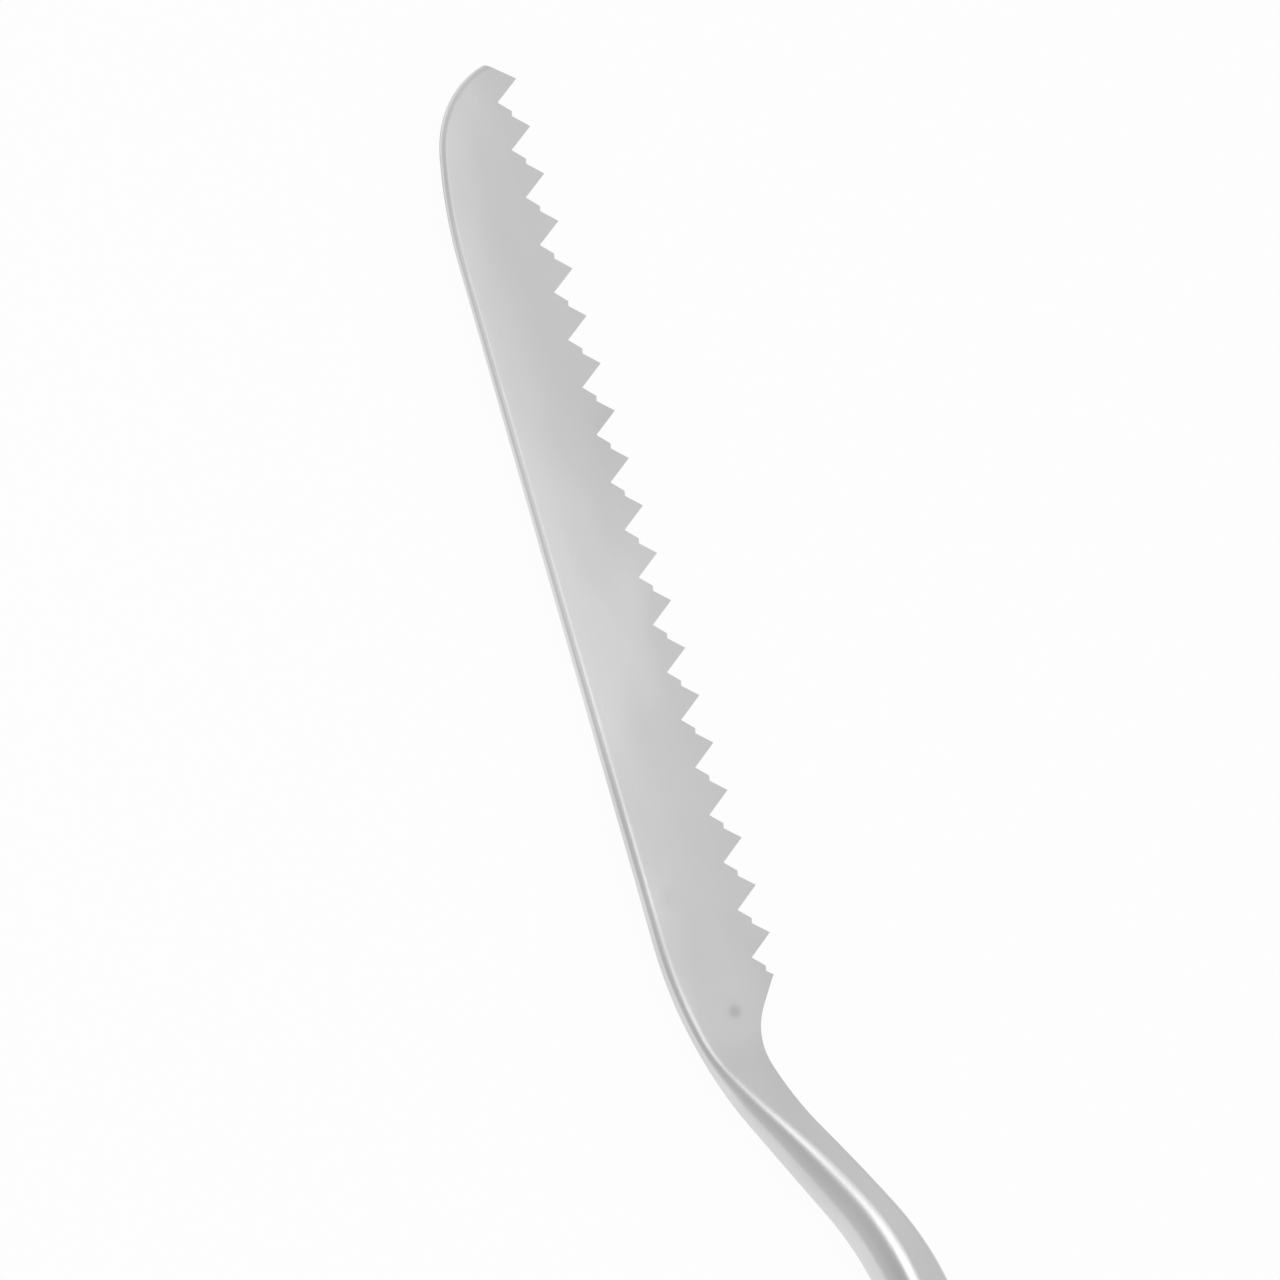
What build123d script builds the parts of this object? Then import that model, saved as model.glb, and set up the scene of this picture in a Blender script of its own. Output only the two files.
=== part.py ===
from build123d import *
from math import asin, atan, cos, inf, pi, radians, sin, tan
import os

# Nasal bone saw, one piece of ground stainless steel: a thin toothed blade with a round back,
# a neck that bends towards the toothed side, and a flat handle that widens to a round end.
# It lies on the broad face of its handle. X runs from the nose to the end of the handle,
# Y is the way the teeth point and Z is up. Lengths are in millimetres, angles in degrees.

# Teeth, each with a short steep flank and a long flank with a small step in it
TOOTH_COUNT = 20
TOOTH_PITCH = 2.6
TOOTH_DEPTH = 1.5
STEP_DEPTH = 0.82
STEP_DIP = 0.07
GULLET_SHARE = 0.375  # share of the pitch from a point to the bottom of its gullet
STEP_START_SHARE = 0.615
STEP_END_SHARE = 0.715

# Blade
BLADE_WIDTH = 6.65
BLADE_NOSE_THICKNESS = 0.6
BLADE_ROOT_THICKNESS = 0.9
BACK_TAPER = 0.5
BACK_FLAT = 0.06  # what the two roundings of the back leave between them at the nose
NOSE_REACH = 1.12  # how far the nose stands out beyond the first point
NOSE_CORNER_DEPTH = 1.55
NOSE_START_ANGLE = -76.5
NOSE_END_ANGLE = -14.4
SHOULDER_RADIUS = 24.6

# Neck, which leaves the blade at its back and at a hollow behind the last tooth
NECK_ANGLE = 27.5
NECK_BEND_RADIUS = 22.6
NECK_BEND_LEAD = 3.87  # how far before the last point the back starts to bend
HANDLE_BEND_RADIUS = 17.6
WAIST_WIDTH = 2.48
HOLLOW_LEAD = 1.08  # how far before the last point the hollow starts
HOLLOW_FLANK_ANGLE = -37.6
HOLLOW_RADIUS = 3.8
HOLLOW_RUNOUT_ANGLE = 13.5
HOLLOW_RUNOUT_RADIUS = 14.5
HOLLOW_EDGE_ROUNDING = 0.1
SIDE_ANGLE = 29.6
SIDE_BEND_RADIUS = 18.8
FACE_LEAD = 1.3  # how far behind the blade the neck starts to get thicker
FACE_ANGLE = 11.3
FACE_HOLLOW_RADIUS = 4.4
BACK_SPREAD = 0.25  # how much wider than deep the neck's back is rounded at mid-length
SIDE_ROUNDING_EASE = 4  # power by which the neck's toothed side gets rounder towards the handle
NECK_SECTIONS = 20

# Handle
BAYONET_OFFSET = 6.05  # from the middle of the blade to the middle of the handle
HANDLE_LENGTH = 103.0
HANDLE_THICKNESS = 3.0
HANDLE_EDGE_FLAT = 0.2  # what the two roundings of an edge leave between them
HANDLE_FRONT_WIDTH = 3.7
HANDLE_END_WIDTH = 9.0
HANDLE_END_FLAT = 0.6  # what the two rounded corners of the end leave between them


def arc_step(radius, start_angle, end_angle):
    """How far along X and Y an arc gets while it turns from one angle to another."""
    start = radians(start_angle)
    end = radians(end_angle)
    return radius * (sin(end) - sin(start)), radius * (cos(start) - cos(end))


def height_at(runs, x):
    """Height at x of a side that is made of arcs and straight runs in a row."""
    start_x, start_y, angle, radius = [run for run in runs if run[0] <= x][-1]
    slope = radians(angle)
    if radius == inf:
        return start_y + (x - start_x) * tan(slope)
    turned = asin(sin(slope) + (x - start_x) / radius)
    return start_y + radius * (cos(slope) - cos(turned))


# Places in plan, from the first point along the line of points, and out from that line
last_point = (TOOTH_COUNT - 1) * TOOTH_PITCH
handle_axis = BAYONET_OFFSET - BLADE_WIDTH / 2
handle_back = handle_axis - HANDLE_FRONT_WIDTH / 2
handle_side = handle_axis + HANDLE_FRONT_WIDTH / 2

# Back of the neck: an arc out of the blade's back, a slope, and an arc into the handle
back_bend_x = last_point - NECK_BEND_LEAD
out_x, out_y = arc_step(NECK_BEND_RADIUS, -BACK_TAPER, NECK_ANGLE)
in_x, in_y = arc_step(HANDLE_BEND_RADIUS, 0, NECK_ANGLE)
slope_x = back_bend_x + out_x
slope_y = -BLADE_WIDTH + out_y
slope_rise = handle_back - in_y - slope_y
slope_run = slope_rise / tan(radians(NECK_ANGLE))
back_runs = [
    (back_bend_x, -BLADE_WIDTH, -BACK_TAPER, NECK_BEND_RADIUS),
    (slope_x, slope_y, NECK_ANGLE, inf),
    (slope_x + slope_run, slope_y + slope_rise, NECK_ANGLE, -HANDLE_BEND_RADIUS),
    (slope_x + slope_run + in_x, handle_back, 0, inf),
]

# Toothed side of the neck: a flank and a hollow behind the last tooth, a slope past the waist,
# and an arc into the handle
waist_x = slope_x + slope_run / 2 - WAIST_WIDTH * sin(radians(NECK_ANGLE))
waist_y = slope_y + slope_rise / 2 + WAIST_WIDTH * cos(radians(NECK_ANGLE))
side_slope = tan(radians(SIDE_ANGLE))
flank_slope = tan(radians(HOLLOW_FLANK_ANGLE))
hollow_x = last_point - HOLLOW_LEAD
deep_x, deep_y = arc_step(HOLLOW_RADIUS, HOLLOW_FLANK_ANGLE, HOLLOW_RUNOUT_ANGLE)
runout_x, runout_y = arc_step(HOLLOW_RUNOUT_RADIUS, HOLLOW_RUNOUT_ANGLE, SIDE_ANGLE)
side_below_hollow = waist_y + (hollow_x + deep_x + runout_x - waist_x) * side_slope
flank_run = (deep_y + runout_y - side_below_hollow) / (side_slope - flank_slope)
neck_start = hollow_x + flank_run
flank_end_y = flank_run * flank_slope
side_in_x, side_in_y = arc_step(SIDE_BEND_RADIUS, 0, SIDE_ANGLE)
side_bend_y = handle_side - side_in_y
side_bend_x = waist_x + (side_bend_y - waist_y) / side_slope
side_runs = [
    (neck_start, flank_end_y, HOLLOW_FLANK_ANGLE, HOLLOW_RADIUS),
    (neck_start + deep_x, flank_end_y + deep_y, HOLLOW_RUNOUT_ANGLE, HOLLOW_RUNOUT_RADIUS),
    (neck_start + deep_x + runout_x, flank_end_y + deep_y + runout_y, SIDE_ANGLE, inf),
    (side_bend_x, side_bend_y, SIDE_ANGLE, -SIDE_BEND_RADIUS),
    (side_bend_x + side_in_x, handle_side, 0, inf),
]
neck_end = max(slope_x + slope_run + in_x, side_bend_x + side_in_x)
neck_length = neck_end - neck_start

# Half thickness of the neck: flat at first, then a hollow and a crown up to the handle's face
face_start = neck_start + FACE_LEAD
face_rise = (HANDLE_THICKNESS - BLADE_ROOT_THICKNESS) / 2
face_radii = face_rise / (1 - cos(radians(FACE_ANGLE)))
face_x, face_y = arc_step(FACE_HOLLOW_RADIUS, 0, FACE_ANGLE)
crown_y = BLADE_ROOT_THICKNESS / 2 + face_y
face_end = face_start + face_radii * sin(radians(FACE_ANGLE))
face_runs = [
    (neck_start, BLADE_ROOT_THICKNESS / 2, 0, inf),
    (face_start, BLADE_ROOT_THICKNESS / 2, 0, FACE_HOLLOW_RADIUS),
    (face_start + face_x, crown_y, FACE_ANGLE, FACE_HOLLOW_RADIUS - face_radii),
    (face_end, HANDLE_THICKNESS / 2, 0, inf),
]

# Roundings
back_rounding = (BLADE_NOSE_THICKNESS - BACK_FLAT) / 2
handle_rounding = (HANDLE_THICKNESS - HANDLE_EDGE_FLAT) / 2
end_rounding = (HANDLE_END_WIDTH - HANDLE_END_FLAT) / 2

# Nose: an arc up from the front corner and a shoulder, which meet the blade's back
shoulder_x, shoulder_y = arc_step(SHOULDER_RADIUS, NOSE_END_ANGLE, -BACK_TAPER)
unit_x, unit_y = arc_step(1, NOSE_START_ANGLE, NOSE_END_ANGLE)
back_fall = -tan(radians(BACK_TAPER))
back_at_nose = -BLADE_WIDTH + (shoulder_x - NOSE_REACH - back_bend_x) * back_fall
nose_radius = (back_at_nose + NOSE_CORNER_DEPTH - shoulder_y) / (unit_y - unit_x * back_fall)

# Frame: the saw rests on Z = 0, with the origin below the middle of its outline
handle_end = neck_end + HANDLE_LENGTH
handle_taper = atan((HANDLE_END_WIDTH - HANDLE_FRONT_WIDTH) / 2 / HANDLE_LENGTH)
end_rounding_loss = end_rounding * (tan(handle_taper) + 1 / cos(handle_taper) - 1)
highest_y = handle_axis + HANDLE_END_WIDTH / 2 - end_rounding_loss
lowest_y = -BLADE_WIDTH + arc_step(NECK_BEND_RADIUS, -BACK_TAPER, 0)[1]
first_point_x = (NOSE_REACH - handle_end) / 2
point_line_y = -(highest_y + lowest_y) / 2
middle_z = HANDLE_THICKNESS / 2
plan = Plane(origin=(first_point_x, point_line_y, middle_z))
side_view = Plane(origin=plan.origin, x_dir=(1, 0, 0), z_dir=(0, -1, 0))


def tooth_corners():
    """Corners of the toothed edge, the last one where the hollow cuts the last tooth."""
    corners = [(0, 0)]
    for tooth in range(TOOTH_COUNT - 1):
        x = tooth * TOOTH_PITCH
        corners += [
            (x + GULLET_SHARE * TOOTH_PITCH, -TOOTH_DEPTH),
            (x + STEP_START_SHARE * TOOTH_PITCH, -STEP_DEPTH),
            (x + STEP_END_SHARE * TOOTH_PITCH, -STEP_DEPTH - STEP_DIP),
            (x + TOOTH_PITCH, 0),
        ]
    rise = (STEP_DEPTH + STEP_DIP) / (TOOTH_PITCH * (1 - STEP_END_SHARE))
    cut = HOLLOW_LEAD * rise / (rise - flank_slope)
    corners[-1] = (hollow_x + cut, cut * flank_slope)
    return corners


# Blade: the outline with its teeth, ground to a slight taper, and rounded at the back
with BuildPart() as blade:
    with BuildSketch(plan):
        with BuildLine():
            teeth = Polyline(*tooth_corners(), (neck_start, flank_end_y))
            root = Line(teeth @ 1, (neck_start, height_at(back_runs, neck_start)))
            bend = RadiusArc(root @ 1, (back_bend_x, -BLADE_WIDTH), NECK_BEND_RADIUS)
            nose = JernArc(
                (-NOSE_REACH, -NOSE_CORNER_DEPTH),
                Vector(1, 0).rotate(Axis.Z, NOSE_START_ANGLE),
                nose_radius,
                NOSE_END_ANGLE - NOSE_START_ANGLE,
            )
            shoulder = JernArc(nose @ 1, nose % 1, SHOULDER_RADIUS, -BACK_TAPER - NOSE_END_ANGLE)
            Line(shoulder @ 1, bend @ 1)
            Line(nose @ 0, teeth @ 0)
        make_face()
    extrude(amount=BLADE_ROOT_THICKNESS / 2, both=True)
    with BuildSketch(side_view):
        with BuildLine():
            Polyline(
                (-NOSE_REACH, BLADE_NOSE_THICKNESS / 2),
                (neck_start, BLADE_ROOT_THICKNESS / 2),
                (neck_start, -BLADE_ROOT_THICKNESS / 2),
                (-NOSE_REACH, -BLADE_NOSE_THICKNESS / 2),
                close=True,
            )
        make_face()
    extrude(amount=2 * BLADE_WIDTH, both=True, mode=Mode.INTERSECT)
    root_edges = blade.faces().sort_by(Axis.X)[-1].edges()
    rim = blade.edges().filter_by(Axis.Z, reverse=True)
    rim = ShapeList(edge for edge in rim if edge not in root_edges)
    back_edges = rim.filter_by(
        lambda edge: edge.center().Y < point_line_y - (NOSE_CORNER_DEPTH + TOOTH_DEPTH) / 2
    )
    flank_edges = (rim - back_edges).sort_by(Axis.X)[-2:]
    fillet(back_edges, back_rounding)
    fillet(flank_edges, HOLLOW_EDGE_ROUNDING)

# Handle: a flat bar that widens to its round end, with rounded long edges
with BuildPart() as handle:
    with BuildSketch(plan):
        with BuildLine():
            Polyline(
                (neck_end, handle_back),
                (handle_end, handle_axis - HANDLE_END_WIDTH / 2),
                (handle_end, handle_axis + HANDLE_END_WIDTH / 2),
                (neck_end, handle_side),
                close=True,
            )
        make_face()
        fillet(vertices().sort_by(Axis.X)[-2:], end_rounding)
    extrude(amount=HANDLE_THICKNESS / 2, both=True)
    front_edges = handle.faces().sort_by(Axis.X)[0].edges()
    rim = handle.edges().filter_by(Axis.Z, reverse=True)
    fillet(ShapeList(edge for edge in rim if edge not in front_edges), handle_rounding)

# Neck: sections that follow its two sides and its thickness, from the blade's end to the handle
with BuildPart() as neck:
    add(blade.faces().sort_by(Axis.X)[-1])
    for number in range(1, NECK_SECTIONS):
        share = number / NECK_SECTIONS
        x = neck_start + share * neck_length
        back_y = height_at(back_runs, x)
        side_y = height_at(side_runs, x)
        half = height_at(face_runs, x)
        growth = (half - BLADE_ROOT_THICKNESS / 2) / face_rise
        back_depth = back_rounding + growth * (handle_rounding - back_rounding)
        back_width = back_depth + growth * handle_rounding * BACK_SPREAD * sin(pi * share)
        ease = share**SIDE_ROUNDING_EASE
        side_radius = HOLLOW_EDGE_ROUNDING + ease * (handle_rounding - HOLLOW_EDGE_ROUNDING)
        back_middle = Vector(back_y + back_width, half - back_depth)
        side_middle = Vector(side_y - side_radius, half - side_radius)
        section = Plane(plan.origin + (x, 0, 0), x_dir=(0, 1, 0), z_dir=(1, 0, 0))
        with BuildSketch(section):
            with BuildLine():
                back = EllipticalCenterArc(back_middle, back_width, back_depth, 90, arc_size=90)
                side = CenterArc(side_middle, side_radius, 0, 90)
                low_back = mirror(back, about=Plane.XZ)
                low_side = mirror(side, about=Plane.XZ)
                Line(side @ 1, back @ 0)
                Line(back @ 1, low_back @ 1)
                Line(low_back @ 0, low_side @ 1)
                Line(low_side @ 0, side @ 0)
            make_face()
    add(handle.faces().sort_by(Axis.X)[0])
    loft()

# The saw, one solid
with BuildPart() as nasal_saw:
    add(blade.part)
    add(neck.part)
    add(handle.part)
nasal_saw.part.label = "nasal_saw"
os.makedirs("parts", exist_ok=True)
export_step(nasal_saw.part, "parts/nasal_saw.step")
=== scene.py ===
import bpy
import bmesh
from math import acos, asin, atan, ceil, cos, degrees, inf, pi, radians, sin, tan
from mathutils import Matrix, Vector


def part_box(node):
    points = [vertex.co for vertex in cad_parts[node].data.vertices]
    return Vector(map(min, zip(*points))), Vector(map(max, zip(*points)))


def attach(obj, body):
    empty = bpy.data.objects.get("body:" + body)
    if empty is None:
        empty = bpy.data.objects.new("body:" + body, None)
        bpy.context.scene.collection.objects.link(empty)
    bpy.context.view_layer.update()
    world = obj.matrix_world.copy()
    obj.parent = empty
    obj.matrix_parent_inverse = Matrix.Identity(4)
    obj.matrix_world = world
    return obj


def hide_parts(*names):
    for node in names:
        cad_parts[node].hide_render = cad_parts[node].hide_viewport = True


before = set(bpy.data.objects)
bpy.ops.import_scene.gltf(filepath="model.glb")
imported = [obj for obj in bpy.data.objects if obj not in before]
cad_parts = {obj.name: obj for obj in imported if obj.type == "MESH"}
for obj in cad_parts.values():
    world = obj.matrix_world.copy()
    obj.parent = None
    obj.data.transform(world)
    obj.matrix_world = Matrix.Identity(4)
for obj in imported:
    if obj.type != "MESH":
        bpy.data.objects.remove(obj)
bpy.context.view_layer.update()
MM = 0.001

# Sizes of the saw as its solid has them, in millimetres and degrees
TOOTH_COUNT = 20
TOOTH_PITCH = 2.6
TOOTH_DEPTH = 1.5
STEP_DEPTH = 0.82
STEP_DIP = 0.07
GULLET_SHARE = 0.375
STEP_START_SHARE = 0.615
STEP_END_SHARE = 0.715
BLADE_WIDTH = 6.65
BLADE_NOSE_THICKNESS = 0.6
BLADE_ROOT_THICKNESS = 0.9
BACK_TAPER = 0.5
BACK_FLAT = 0.06
NOSE_REACH = 1.12
NOSE_CORNER_DEPTH = 1.55
NOSE_START_ANGLE = -76.5
NOSE_END_ANGLE = -14.4
SHOULDER_RADIUS = 24.6
NECK_ANGLE = 27.5
NECK_BEND_RADIUS = 22.6
NECK_BEND_LEAD = 3.87
HANDLE_BEND_RADIUS = 17.6
WAIST_WIDTH = 2.48
HOLLOW_LEAD = 1.08
HOLLOW_FLANK_ANGLE = -37.6
HOLLOW_RADIUS = 3.8
HOLLOW_RUNOUT_ANGLE = 13.5
HOLLOW_RUNOUT_RADIUS = 14.5
HOLLOW_EDGE_ROUNDING = 0.1
SIDE_ANGLE = 29.6
SIDE_BEND_RADIUS = 18.8
FACE_LEAD = 1.3
FACE_ANGLE = 11.3
FACE_HOLLOW_RADIUS = 4.4
BACK_SPREAD = 0.25
SIDE_ROUNDING_EASE = 4
BAYONET_OFFSET = 6.05
HANDLE_LENGTH = 103.0
HANDLE_THICKNESS = 3.0
HANDLE_EDGE_FLAT = 0.2
HANDLE_FRONT_WIDTH = 3.7
HANDLE_END_WIDTH = 9.0
HANDLE_END_FLAT = 0.6

# What grinding leaves: slightly blunt edges, faces that fall off to the back, a softer hollow
TOOTH_EDGE_ROUNDING = 0.02
NOSE_GRIND_WIDTH = 0.3  # how far in from the back edge its rounding starts
ROOT_GRIND_WIDTH = 0.5
FALL_SHARE = 0.65  # share of the width from the back to the gullets
FALL_SLOPE = tan(radians(1.8))
FALL_FADE = 8.0  # length over which it fades before the neck
SOFT_HOLLOW_RADIUS = 11.5

# How finely the mesh follows the solid
STATION_STEP = 0.15
HANDLE_STATION_STEP = 1.0
END_STATIONS = 24
RIM_STEPS = 10
FALL_STEPS = 4
EDGE_HOLD = 0.02  # how near an edge of a rounding the flat face beside it has its next points
SHARP_ANGLE = radians(30)


def arc_step(radius, start_angle, end_angle):
    """How far along X and Y an arc gets while it turns from one angle to another."""
    start = radians(start_angle)
    end = radians(end_angle)
    return radius * (sin(end) - sin(start)), radius * (cos(start) - cos(end))


def side_at(runs, x):
    """Height and slope at x of a side that is made of arcs and straight runs in a row."""
    start_x, start_y, angle, radius = [run for run in runs if run[0] <= x][-1]
    slope = radians(angle)
    if radius == inf:
        return start_y + (x - start_x) * tan(slope), slope
    turned = asin(sin(slope) + (x - start_x) / radius)
    return start_y + radius * (cos(slope) - cos(turned)), turned


# Places in plan, from the first point along the line of points, and out from that line
last_point = (TOOTH_COUNT - 1) * TOOTH_PITCH
handle_axis = BAYONET_OFFSET - BLADE_WIDTH / 2
handle_back = handle_axis - HANDLE_FRONT_WIDTH / 2
handle_side = handle_axis + HANDLE_FRONT_WIDTH / 2
back_bend_x = last_point - NECK_BEND_LEAD

# Back: nose, shoulder, straight back, bend, slope and the arc into the handle
shoulder_x, shoulder_y = arc_step(SHOULDER_RADIUS, NOSE_END_ANGLE, -BACK_TAPER)
unit_x, unit_y = arc_step(1, NOSE_START_ANGLE, NOSE_END_ANGLE)
back_fall = -tan(radians(BACK_TAPER))
back_at_nose = -BLADE_WIDTH + (shoulder_x - NOSE_REACH - back_bend_x) * back_fall
nose_radius = (back_at_nose + NOSE_CORNER_DEPTH - shoulder_y) / (unit_y - unit_x * back_fall)
nose_x = nose_radius * unit_x - NOSE_REACH
nose_y = nose_radius * unit_y - NOSE_CORNER_DEPTH
out_x, out_y = arc_step(NECK_BEND_RADIUS, -BACK_TAPER, NECK_ANGLE)
in_x, in_y = arc_step(HANDLE_BEND_RADIUS, 0, NECK_ANGLE)
slope_x = back_bend_x + out_x
slope_y = -BLADE_WIDTH + out_y
slope_rise = handle_back - in_y - slope_y
slope_run = slope_rise / tan(radians(NECK_ANGLE))
back_runs = [
    (-NOSE_REACH, -NOSE_CORNER_DEPTH, NOSE_START_ANGLE, nose_radius),
    (nose_x, nose_y, NOSE_END_ANGLE, SHOULDER_RADIUS),
    (nose_x + shoulder_x, nose_y + shoulder_y, -BACK_TAPER, inf),
    (back_bend_x, -BLADE_WIDTH, -BACK_TAPER, NECK_BEND_RADIUS),
    (slope_x, slope_y, NECK_ANGLE, inf),
    (slope_x + slope_run, slope_y + slope_rise, NECK_ANGLE, -HANDLE_BEND_RADIUS),
    (slope_x + slope_run + in_x, handle_back, 0, inf),
]

# Toothed side of the neck: flank and hollow behind the last tooth, slope, arc into the handle
waist_x = slope_x + slope_run / 2 - WAIST_WIDTH * sin(radians(NECK_ANGLE))
waist_y = slope_y + slope_rise / 2 + WAIST_WIDTH * cos(radians(NECK_ANGLE))
side_slope = tan(radians(SIDE_ANGLE))
flank_slope = tan(radians(HOLLOW_FLANK_ANGLE))
hollow_x = last_point - HOLLOW_LEAD
tooth_rise = (STEP_DEPTH + STEP_DIP) / (TOOTH_PITCH * (1 - STEP_END_SHARE))
flank_top_x = hollow_x + HOLLOW_LEAD * tooth_rise / (tooth_rise - flank_slope)
deep_x, deep_y = arc_step(HOLLOW_RADIUS, HOLLOW_FLANK_ANGLE, HOLLOW_RUNOUT_ANGLE)
runout_x, runout_y = arc_step(HOLLOW_RUNOUT_RADIUS, HOLLOW_RUNOUT_ANGLE, SIDE_ANGLE)
side_below_hollow = waist_y + (hollow_x + deep_x + runout_x - waist_x) * side_slope
flank_run = (deep_y + runout_y - side_below_hollow) / (side_slope - flank_slope)
neck_start = hollow_x + flank_run
flank_end_y = flank_run * flank_slope
side_in_x, side_in_y = arc_step(SIDE_BEND_RADIUS, 0, SIDE_ANGLE)
side_bend_y = handle_side - side_in_y
side_bend_x = waist_x + (side_bend_y - waist_y) / side_slope
side_runs = [
    (neck_start, flank_end_y, HOLLOW_FLANK_ANGLE, HOLLOW_RADIUS),
    (neck_start + deep_x, flank_end_y + deep_y, HOLLOW_RUNOUT_ANGLE, HOLLOW_RUNOUT_RADIUS),
    (neck_start + deep_x + runout_x, flank_end_y + deep_y + runout_y, SIDE_ANGLE, inf),
    (side_bend_x, side_bend_y, SIDE_ANGLE, -SIDE_BEND_RADIUS),
    (side_bend_x + side_in_x, handle_side, 0, inf),
]
neck_end = max(slope_x + slope_run + in_x, side_bend_x + side_in_x)
neck_length = neck_end - neck_start

# Half thickness: the blade's taper, a hollow and a crown, then the handle
face_rise = (HANDLE_THICKNESS - BLADE_ROOT_THICKNESS) / 2
face_radii = face_rise / (1 - cos(radians(FACE_ANGLE)))
face_end = neck_start + FACE_LEAD + face_radii * sin(radians(FACE_ANGLE))
crown_radius = face_radii - FACE_HOLLOW_RADIUS
soft_angle = degrees(acos(1 - face_rise / (crown_radius + SOFT_HOLLOW_RADIUS)))
hollow_run, hollow_rise = arc_step(SOFT_HOLLOW_RADIUS, 0, soft_angle)
crown_start = face_end - arc_step(crown_radius, 0, soft_angle)[0]
crown_y = BLADE_ROOT_THICKNESS / 2 + hollow_rise
blade_taper = atan((BLADE_ROOT_THICKNESS - BLADE_NOSE_THICKNESS) / 2 / (neck_start + NOSE_REACH))
face_runs = [
    (-NOSE_REACH, BLADE_NOSE_THICKNESS / 2, degrees(blade_taper), inf),
    (neck_start, BLADE_ROOT_THICKNESS / 2, 0, inf),
    (crown_start - hollow_run, BLADE_ROOT_THICKNESS / 2, 0, SOFT_HOLLOW_RADIUS),
    (crown_start, crown_y, soft_angle, -crown_radius),
    (face_end, HANDLE_THICKNESS / 2, 0, inf),
]

# Roundings, and the round end of the handle
back_rounding = (BLADE_NOSE_THICKNESS - BACK_FLAT) / 2
handle_rounding = (HANDLE_THICKNESS - HANDLE_EDGE_FLAT) / 2
end_rounding = (HANDLE_END_WIDTH - HANDLE_END_FLAT) / 2
handle_end = neck_end + HANDLE_LENGTH
handle_taper = atan((HANDLE_END_WIDTH - HANDLE_FRONT_WIDTH) / 2 / HANDLE_LENGTH)
end_centre_x = handle_end - end_rounding
end_centre_y = HANDLE_END_WIDTH / 2 - end_rounding * (tan(handle_taper) + 1 / cos(handle_taper))
end_arc_x = end_centre_x - end_rounding * sin(handle_taper)

# The saw's own place in the frame
low_corner, high_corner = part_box("nasal_saw")
first_point_x = low_corner[0] / MM + NOSE_REACH
highest_y = handle_axis + end_centre_y + end_rounding
lowest_y = -BLADE_WIDTH + arc_step(NECK_BEND_RADIUS, -BACK_TAPER, 0)[1]
point_line_y = (low_corner[1] + high_corner[1]) / 2 / MM - (highest_y + lowest_y) / 2
middle_z = (low_corner[2] + high_corner[2]) / 2 / MM
saw_origin = Vector((first_point_x, point_line_y, middle_z))

# Camera: a long lens that looks down on the blade's flat side from its back
LENS = 250.0
SENSOR = 36.0
VIEW_TILT = radians(30)
VIEW_ROLL = radians(16.47)
FRAME_WIDTH = 67.1
VIEW_CENTRE = Vector((30.14, -2.46, BLADE_NOSE_THICKNESS / 2))
towards_camera = Vector((0, -sin(VIEW_TILT), cos(VIEW_TILT)))

# Finish: matt on the blade, glossier to the handle, and a painted sheen in the colour that runs darker
# from the back to the gullets
NOSE_ROUGHNESS = 0.4
ROOT_ROUGHNESS = 0.38
HANDLE_ROUGHNESS = 0.19
ROUGHNESS_SPREAD = 0.1
GRAIN_DEPTH = 0.005
GRAIN_STRENGTH = 0.6
BRUSHING_STRENGTH = 0.5
BLUE_TINT = 0.005
STEEL_TONES = [(0, 0.5), (0.3, 0.65), (0.7, 0.69), (1, 0.76)]  # place on the ramp, then level
# Painted sheen across the upper face: the colour is lighter at the back and darker towards the gullets
PAINTED_BACK_SHEEN = 0.27
PAINTED_GULLET_SHADE = -0.1
SMUDGES_AND_PAINTED_LIGHT = [  # place, radius and how much darker each is, or brighter where less than 0; a smudge with its halo and a fainter mark, then patches of painted shade and painted sheen
    (50.2, -3.4, 0.8, 0.4),  # smudge
    (50.2, -3.4, 1.7, 0.16),  # halo round the smudge
    (43.5, -5.2, 0.9, 0.22),  # fainter mark
    (46.8, -4.3, 4.6, 0.3),  # painted shade: a darker reflection at the root
    (51.3, -4.6, 3.2, 0.28),  # painted shade: a darker reflection at the start of the neck
    (1.0, -4.6, 5.0, -0.27),  # painted sheen at the nose
    (27.0, -5.9, 13.0, -0.45),  # painted sheen along the middle of the back
]

# Noise patterns: features to the metre along each axis, then detail
TONE_NOISE = (120, 240, 240), 1
ROUGHNESS_NOISE = (200, 400, 400), 4
BRUSHING_NOISE = (400, 5000, 5000), 2
GRAIN_NOISE = (5500, 5500, 5500), 2
NOISE_LOW = 0.3  # values of a pattern beyond these two count as equal to them
NOISE_HIGH = 0.7

# Light: angles from straight up towards the toothed side, and the lamp's sizes in millimetres
ROOM_DARK = 0.455
ROOM_BRIGHT = 0.785
GLOW_ANGLE = radians(8)
GLOW_LEAN = radians(7.5)  # towards the handle
GLOW_RADIUS = radians(16)
GLOW_LEVEL = 1.45
LAMP_PLACE = 14.0  # along the blade from the first point
LAMP_DISTANCE = 100.0
LAMP_LENGTH = 30.0
LAMP_WIDTH = 40.0
LAMP_LEVEL = 0.8
FLOOR_GLOW = 0.95

# Floor, in millimetres
FLOOR_SIZE = 6000.0
FLOOR_DROP = 0.02
FLOOR_WHITE = 0.93
FLOOR_ROUGHNESS = 0.9


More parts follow.
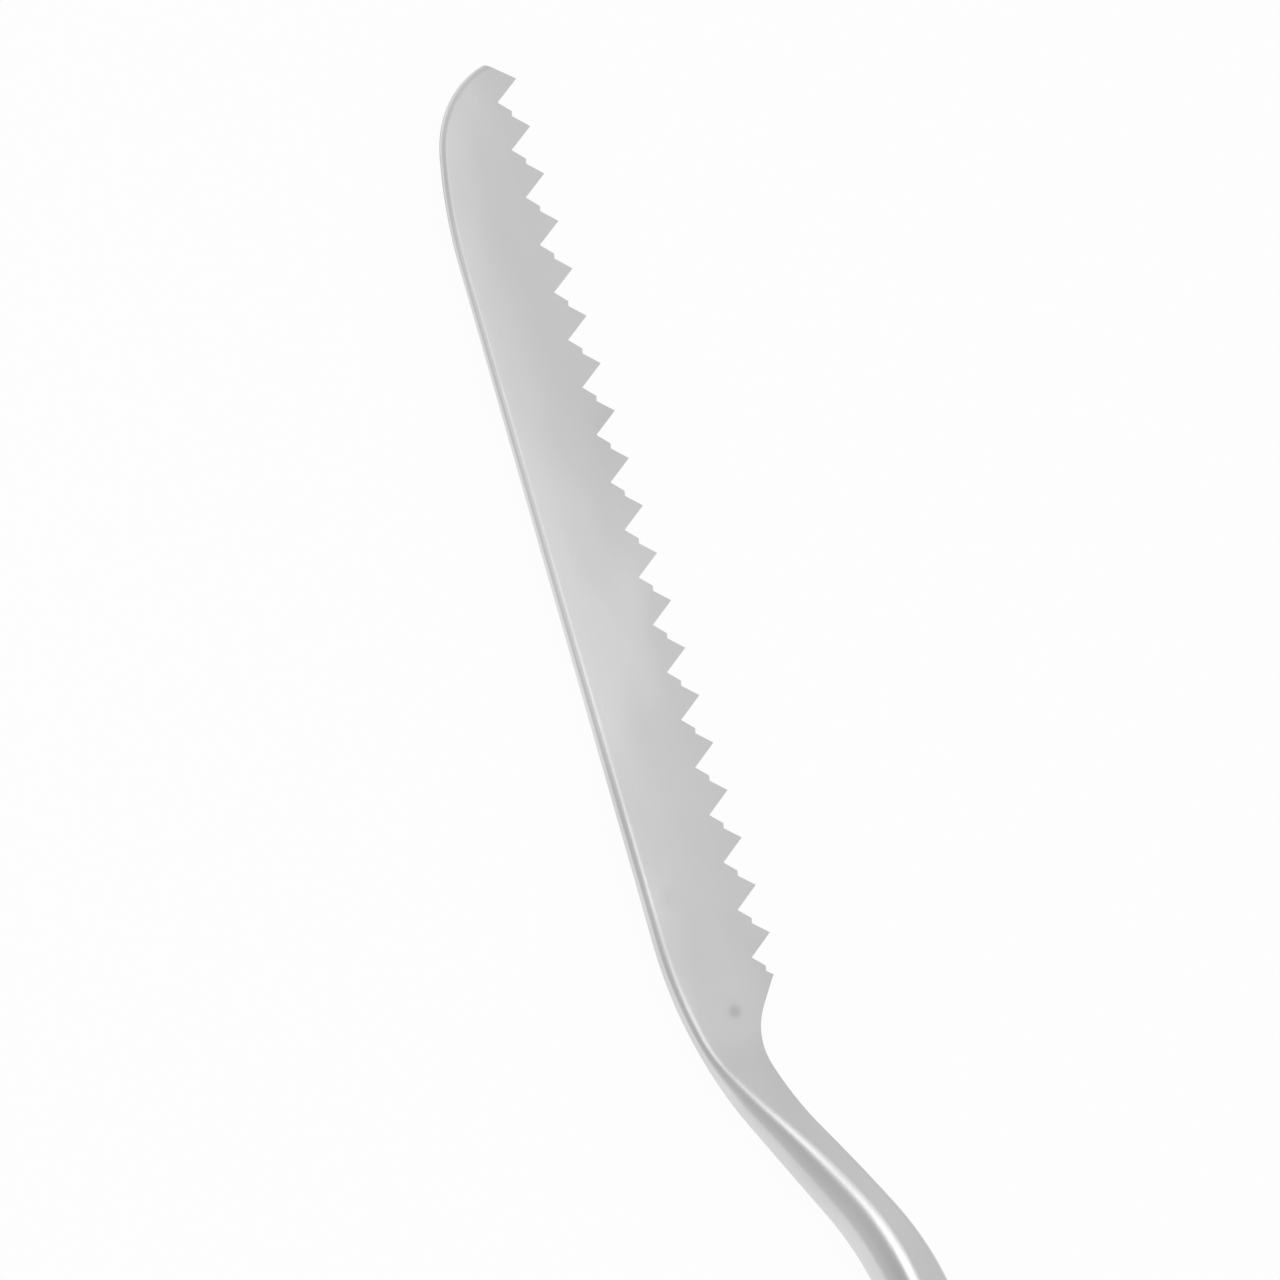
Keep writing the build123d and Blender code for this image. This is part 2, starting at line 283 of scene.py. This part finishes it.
def toothed_edge():
    """The blade's edge as far as the neck, with its corners and with points between them."""
    corners = [(0, 0)]
    for tooth in range(TOOTH_COUNT - 1):
        x = tooth * TOOTH_PITCH
        corners += [
            (x + GULLET_SHARE * TOOTH_PITCH, -TOOTH_DEPTH),
            (x + STEP_START_SHARE * TOOTH_PITCH, -STEP_DEPTH),
            (x + STEP_END_SHARE * TOOTH_PITCH, -STEP_DEPTH - STEP_DIP),
            (x + TOOTH_PITCH, 0),
        ]
    # The flank of the hollow cuts off the last tooth's point
    corners[-1] = (flank_top_x, (flank_top_x - hollow_x) * flank_slope)
    corners.append((neck_start, flank_end_y))
    edge = [Vector(corners[0])]
    for start, end in zip(corners, corners[1:]):
        steps = ceil((end[0] - start[0]) / STATION_STEP)
        edge += [Vector(start).lerp(Vector(end), step / steps) for step in range(1, steps + 1)]
    return edge


def rim(point, inward, half, width, depth, fall_width=EDGE_HOLD):
    """Profile of a rounded rim, from the lower face round the edge to the upper face."""
    top = half - FALL_SLOPE * fall_width / 2
    upper = [(0, top - depth - EDGE_HOLD)]
    for step in range(RIM_STEPS + 1):
        angle = step * pi / 2 / RIM_STEPS
        upper.append((width * (1 - cos(angle)), top - depth + depth * sin(angle)))
    for step in range(1, FALL_STEPS + 1):
        left = 1 - step / FALL_STEPS
        upper.append((width + fall_width * (1 - left), half - FALL_SLOPE * fall_width * left**2 / 2))
    profile = [(run, -height) for run, height in reversed(upper)] + upper
    return [(point + inward * run).to_3d() + Vector((0, 0, height)) for run, height in profile]


def blade_rings():
    """Rings across the blade. The first lies in the slanted front edge."""
    rings = []
    for edge in toothed_edge():
        back_x = edge.x
        if edge.x < TOOTH_PITCH:
            back_x = (TOOTH_PITCH + NOSE_REACH) * (edge.x / TOOTH_PITCH) ** 2 - NOSE_REACH
        back_y, slope = side_at(back_runs, back_x)
        back_inward = Vector((-sin(slope), cos(slope)))
        side_inward = Vector((0, -1))
        if not rings:
            front = Vector((NOSE_REACH, NOSE_CORNER_DEPTH)).normalized()
            back_inward = front / front.dot(back_inward)
            side_inward = -front
        fade = min(1, (neck_start - edge.x) / FALL_FADE)
        fall_width = max(FALL_SHARE * (-TOOTH_DEPTH - back_y) * fade, EDGE_HOLD)
        width = NOSE_GRIND_WIDTH + edge.x / neck_start * (ROOT_GRIND_WIDTH - NOSE_GRIND_WIDTH)
        back_point = Vector((back_x, back_y))
        back_half = side_at(face_runs, back_x)[0]
        side_half = side_at(face_runs, edge.x)[0]
        back = rim(back_point, back_inward, back_half, width, back_rounding, fall_width)
        rounding = TOOTH_EDGE_ROUNDING
        if edge.x > flank_top_x + EDGE_HOLD:
            rounding = HOLLOW_EDGE_ROUNDING
        side = rim(edge, side_inward, side_half, rounding, rounding)
        rings.append(back + side[::-1])
    return rings


def neck_rings():
    """Rings across the neck, whose roundings grow towards the handle."""
    rings = []
    count = ceil(neck_length / STATION_STEP)
    for number in range(1, count):
        share = number / count
        x = neck_start + share * neck_length
        half = side_at(face_runs, x)[0]
        growth = (half - BLADE_ROOT_THICKNESS / 2) / face_rise
        back_depth = back_rounding + growth * (handle_rounding - back_rounding)
        full_width = handle_rounding * (1 + BACK_SPREAD * sin(pi * share))
        back_width = ROOT_GRIND_WIDTH + growth * (full_width - ROOT_GRIND_WIDTH)
        ease = share**SIDE_ROUNDING_EASE
        side_radius = HOLLOW_EDGE_ROUNDING + ease * (handle_rounding - HOLLOW_EDGE_ROUNDING)
        back_point = Vector((x, side_at(back_runs, x)[0]))
        side_point = Vector((x, side_at(side_runs, x)[0]))
        back = rim(back_point, Vector((0, 1)), half, back_width, back_depth)
        side = rim(side_point, Vector((0, -1)), half, side_radius, side_radius)
        rings.append(back + side[::-1])
    return rings


def handle_ring(x, out, angle):
    """A ring across the handle, with its edges so far out from the axis and turned by an angle."""
    half = HANDLE_THICKNESS / 2
    back_inward = Vector((-sin(angle), cos(angle)))
    side_inward = Vector((-sin(angle), -cos(angle)))
    back_point = Vector((x, handle_axis - out))
    side_point = Vector((x, handle_axis + out))
    back = rim(back_point, back_inward, half, handle_rounding, handle_rounding)
    side = rim(side_point, side_inward, half, handle_rounding, handle_rounding)
    return back + side[::-1]


def handle_rings():
    """Rings across the handle, straight at first and then round its end."""
    rings = []
    straight = end_arc_x - neck_end
    count = ceil(straight / HANDLE_STATION_STEP)
    for number in range(count):
        run = straight * number / count
        out = HANDLE_FRONT_WIDTH / 2 + run * tan(handle_taper)
        rings.append(handle_ring(neck_end + run, out, -handle_taper))
    for number in range(END_STATIONS + 1):
        angle = -handle_taper + (pi / 2 + handle_taper) * number / END_STATIONS
        x = end_centre_x + end_rounding * sin(angle)
        rings.append(handle_ring(x, end_centre_y + end_rounding * cos(angle), angle))
    return rings


def add_saw():
    """The saw as a fine mesh in the form of its solid."""
    shape = bmesh.new()
    rings = []
    for ring in blade_rings() + neck_rings() + handle_rings():
        rings.append([shape.verts.new((saw_origin + corner) * MM) for corner in ring])
    size = len(rings[0])
    for ring, following in zip(rings, rings[1:]):
        for number in range(size):
            beside = (number + 1) % size
            shape.faces.new((ring[number], ring[beside], following[beside], following[number]))
    for ring in (rings[0], rings[-1]):
        for number in range(size // 2 - 1):
            shape.faces.new((ring[number], ring[number + 1], ring[-number - 2], ring[-number - 1]))
    bmesh.ops.recalc_face_normals(shape, faces=shape.faces)
    mesh = bpy.data.meshes.new("saw")
    shape.to_mesh(mesh)
    shape.free()
    mesh.shade_smooth()
    mesh.set_sharp_from_angle(angle=SHARP_ANGLE)
    saw = bpy.data.objects.new("saw", mesh)
    bpy.context.scene.collection.objects.link(saw)
    return saw


def add_camera():
    """Camera at the photograph's angle, with the nose up and the teeth to the right."""
    across = Vector((0, cos(VIEW_TILT), sin(VIEW_TILT)))
    nose = Vector((-1, 0, 0))
    right = cos(VIEW_ROLL) * across - sin(VIEW_ROLL) * nose
    up = cos(VIEW_ROLL) * nose + sin(VIEW_ROLL) * across
    data = bpy.data.cameras.new("camera")
    data.lens = LENS
    data.sensor_width = SENSOR
    camera = bpy.data.objects.new("camera", data)
    place = saw_origin + VIEW_CENTRE + towards_camera * (FRAME_WIDTH * LENS / SENSOR)
    turn = Matrix((right, up, towards_camera)).transposed().to_4x4()
    camera.matrix_world = Matrix.Translation(place * MM) @ turn
    bpy.context.scene.collection.objects.link(camera)
    bpy.context.scene.camera = camera


def noise(nodes, links, scale, detail):
    """A noise pattern over the object, whose features are as many to the metre along each axis."""
    place = nodes.new("ShaderNodeTexCoord")
    stretch = nodes.new("ShaderNodeMapping")
    stretch.inputs["Scale"].default_value = scale
    pattern = nodes.new("ShaderNodeTexNoise")
    pattern.inputs["Scale"].default_value = 1
    pattern.inputs["Detail"].default_value = detail
    links.new(place.outputs["Object"], stretch.inputs["Vector"])
    links.new(stretch.outputs["Vector"], pattern.inputs["Vector"])
    return pattern.outputs["Fac"]


def spread(nodes, links, value, low, high):
    """A pattern's values spread between two limits."""
    limits = nodes.new("ShaderNodeMapRange")
    limits.inputs["From Min"].default_value = NOISE_LOW
    limits.inputs["From Max"].default_value = NOISE_HIGH
    limits.inputs["To Min"].default_value = low
    limits.inputs["To Max"].default_value = high
    links.new(value, limits.inputs["Value"])
    return limits.outputs["Result"]


def change(nodes, links, axis, start, end, first, last):
    """A value that goes from one to another between two places along an axis."""
    place = nodes.new("ShaderNodeTexCoord")
    split = nodes.new("ShaderNodeSeparateXYZ")
    share = nodes.new("ShaderNodeMapRange")
    share.inputs["From Min"].default_value = start * MM
    share.inputs["From Max"].default_value = end * MM
    share.inputs["To Min"].default_value = first
    share.inputs["To Max"].default_value = last
    links.new(place.outputs["Object"], split.inputs["Vector"])
    links.new(split.outputs[axis], share.inputs["Value"])
    return share.outputs["Result"]


def combine(nodes, links, operation, first, second):
    """Two values added, subtracted or multiplied."""
    step = nodes.new("ShaderNodeMath")
    step.operation = operation
    links.new(first, step.inputs[0])
    links.new(second, step.inputs[1])
    return step.outputs["Value"]


def spot(nodes, links, x, y, radius, strength):
    """How much one soft round spot on the blade's upper face darkens each place, or brightens it where
    the strength is below 0; the spots are smudges and patches of painted shade and painted sheen.
    """
    place = nodes.new("ShaderNodeTexCoord")
    far = nodes.new("ShaderNodeVectorMath")
    far.operation = "DISTANCE"
    far.inputs[1].default_value = (saw_origin + Vector((x, y, side_at(face_runs, x)[0]))) * MM
    fade = nodes.new("ShaderNodeMapRange")
    fade.interpolation_type = "SMOOTHSTEP"
    fade.inputs["From Max"].default_value = radius * MM
    fade.inputs["To Min"].default_value = strength
    fade.inputs["To Max"].default_value = 0
    links.new(place.outputs["Object"], far.inputs[0])
    links.new(far.outputs["Value"], fade.inputs["Value"])
    return fade.outputs["Result"]


def steel():
    """Satin stainless steel: a fine grain, faint brushing along the saw and a slow change of sheen,
    with painted sheen and painted shade in its colour.
    """
    material = bpy.data.materials.new("satin_steel")
    material.use_nodes = True
    nodes = material.node_tree.nodes
    links = material.node_tree.links
    shader = nodes["Principled BSDF"]
    shader.inputs["Metallic"].default_value = 1
    root_x = first_point_x + neck_start
    handle_x = first_point_x + neck_end
    back_y = point_line_y - BLADE_WIDTH
    gullet_y = point_line_y - TOOTH_DEPTH
    tone = nodes.new("ShaderNodeValToRGB")
    ramp = tone.color_ramp.elements
    for place, level in STEEL_TONES[1:-1]:
        ramp.new(place)
    for element, (place, level) in zip(ramp, STEEL_TONES):
        element.color = (level, level, level + BLUE_TINT, 1)
    # Painted sheen: lighter at the back, darker towards the gullets
    across = change(nodes, links, "Y", back_y, gullet_y, PAINTED_BACK_SHEEN, PAINTED_GULLET_SHADE)
    tone_with_painted_light = combine(nodes, links, "ADD", noise(nodes, links, *TONE_NOISE), across)
    # Smudges, and patches of painted shade and painted sheen
    for x, y, radius, strength in SMUDGES_AND_PAINTED_LIGHT:
        tone_with_painted_light = combine(nodes, links, "SUBTRACT", tone_with_painted_light, spot(nodes, links, x, y, radius, strength))
    links.new(tone_with_painted_light, tone.inputs["Fac"])
    links.new(tone.outputs["Color"], shader.inputs["Base Color"])
    blade = change(nodes, links, "X", first_point_x, root_x, NOSE_ROUGHNESS, ROOT_ROUGHNESS)
    neck = change(nodes, links, "X", root_x, handle_x, 0, ROOT_ROUGHNESS - HANDLE_ROUGHNESS)
    along = combine(nodes, links, "SUBTRACT", blade, neck)
    clouds = noise(nodes, links, *ROUGHNESS_NOISE)
    clouds = spread(nodes, links, clouds, 1 - ROUGHNESS_SPREAD, 1 + ROUGHNESS_SPREAD)
    links.new(combine(nodes, links, "MULTIPLY", along, clouds), shader.inputs["Roughness"])
    brushing = nodes.new("ShaderNodeBump")
    brushing.inputs["Strength"].default_value = BRUSHING_STRENGTH
    brushing.inputs["Distance"].default_value = GRAIN_DEPTH * MM
    links.new(noise(nodes, links, *BRUSHING_NOISE), brushing.inputs["Height"])
    grain = nodes.new("ShaderNodeBump")
    grain.inputs["Strength"].default_value = GRAIN_STRENGTH
    grain.inputs["Distance"].default_value = GRAIN_DEPTH * MM
    links.new(noise(nodes, links, *GRAIN_NOISE), grain.inputs["Height"])
    links.new(brushing.outputs["Normal"], grain.inputs["Normal"])
    links.new(grain.outputs["Normal"], shader.inputs["Normal"])
    return material


def add_floor():
    """A white floor below the saw, which keeps a soft shadow."""
    bpy.ops.mesh.primitive_plane_add(size=FLOOR_SIZE * MM, location=(0, 0, -FLOOR_DROP * MM))
    floor = bpy.context.object
    floor.name = "floor"
    material = bpy.data.materials.new("floor")
    material.use_nodes = True
    nodes = material.node_tree.nodes
    links = material.node_tree.links
    paint = nodes["Principled BSDF"]
    paint.inputs["Base Color"].default_value = (FLOOR_WHITE, FLOOR_WHITE, FLOOR_WHITE, 1)
    paint.inputs["Roughness"].default_value = FLOOR_ROUGHNESS
    glow = nodes.new("ShaderNodeEmission")
    rays = nodes.new("ShaderNodeLightPath")
    seen = nodes.new("ShaderNodeMath")
    seen.operation = "MAXIMUM"
    links.new(rays.outputs["Is Camera Ray"], seen.inputs[0])
    links.new(rays.outputs["Is Glossy Ray"], seen.inputs[1])
    share = nodes.new("ShaderNodeMath")
    share.operation = "MULTIPLY"
    share.inputs[1].default_value = FLOOR_GLOW
    links.new(seen.outputs["Value"], share.inputs[0])
    surface = nodes.new("ShaderNodeMixShader")
    links.new(share.outputs["Value"], surface.inputs["Fac"])
    links.new(paint.outputs["BSDF"], surface.inputs[1])
    links.new(glow.outputs["Emission"], surface.inputs[2])
    links.new(surface.outputs["Shader"], nodes["Material Output"].inputs["Surface"])
    floor.data.materials.append(material)


def add_lamp():
    """A small soft lamp near the nose, from the camera's side, which lights the rounded back."""
    data = bpy.data.lights.new("lamp", "AREA")
    data.shape = "RECTANGLE"
    data.size = LAMP_LENGTH * MM
    data.size_y = LAMP_WIDTH * MM
    data.energy = LAMP_LEVEL * pi * data.size * data.size_y
    lamp = bpy.data.objects.new("lamp", data)
    middle = saw_origin + Vector((LAMP_PLACE, -BLADE_WIDTH, 0))
    lamp.location = (middle + LAMP_DISTANCE * towards_camera) * MM
    lamp.rotation_euler = (VIEW_TILT, 0, 0)
    bpy.context.scene.collection.objects.link(lamp)


def add_world():
    """A white room, darker towards the place that the camera looks from, with a glow above."""
    world = bpy.data.worlds.new("world")
    bpy.context.scene.world = world
    world.use_nodes = True
    nodes = world.node_tree.nodes
    links = world.node_tree.links
    direction = nodes.new("ShaderNodeTexCoord")
    away = nodes.new("ShaderNodeVectorMath")
    away.operation = "CROSS_PRODUCT"
    away.inputs[1].default_value = towards_camera
    length = nodes.new("ShaderNodeVectorMath")
    length.operation = "LENGTH"
    level = nodes.new("ShaderNodeMapRange")
    level.inputs["To Min"].default_value = ROOM_DARK
    level.inputs["To Max"].default_value = ROOM_BRIGHT
    links.new(direction.outputs["Generated"], away.inputs[0])
    links.new(away.outputs["Vector"], length.inputs[0])
    links.new(length.outputs["Value"], level.inputs["Value"])
    near = nodes.new("ShaderNodeVectorMath")
    near.operation = "DOT_PRODUCT"
    upright = cos(GLOW_LEAN)
    middle = (sin(GLOW_LEAN), upright * sin(GLOW_ANGLE), upright * cos(GLOW_ANGLE))
    near.inputs[1].default_value = middle
    glow = nodes.new("ShaderNodeMapRange")
    glow.interpolation_type = "SMOOTHSTEP"
    glow.inputs["From Min"].default_value = cos(GLOW_RADIUS)
    glow.inputs["To Max"].default_value = GLOW_LEVEL
    links.new(direction.outputs["Generated"], near.inputs[0])
    links.new(near.outputs["Value"], glow.inputs["Value"])
    strength = combine(nodes, links, "ADD", level.outputs["Result"], glow.outputs["Result"])
    links.new(strength, nodes["Background"].inputs["Strength"])
    nodes["Background"].inputs["Color"].default_value = (1, 1, 1, 1)


add_camera()
saw = add_saw()
saw.data.materials.append(steel())
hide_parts("nasal_saw")
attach(saw, "root")
add_floor()
add_lamp()
add_world()
bpy.context.scene.view_settings.view_transform = "Standard"
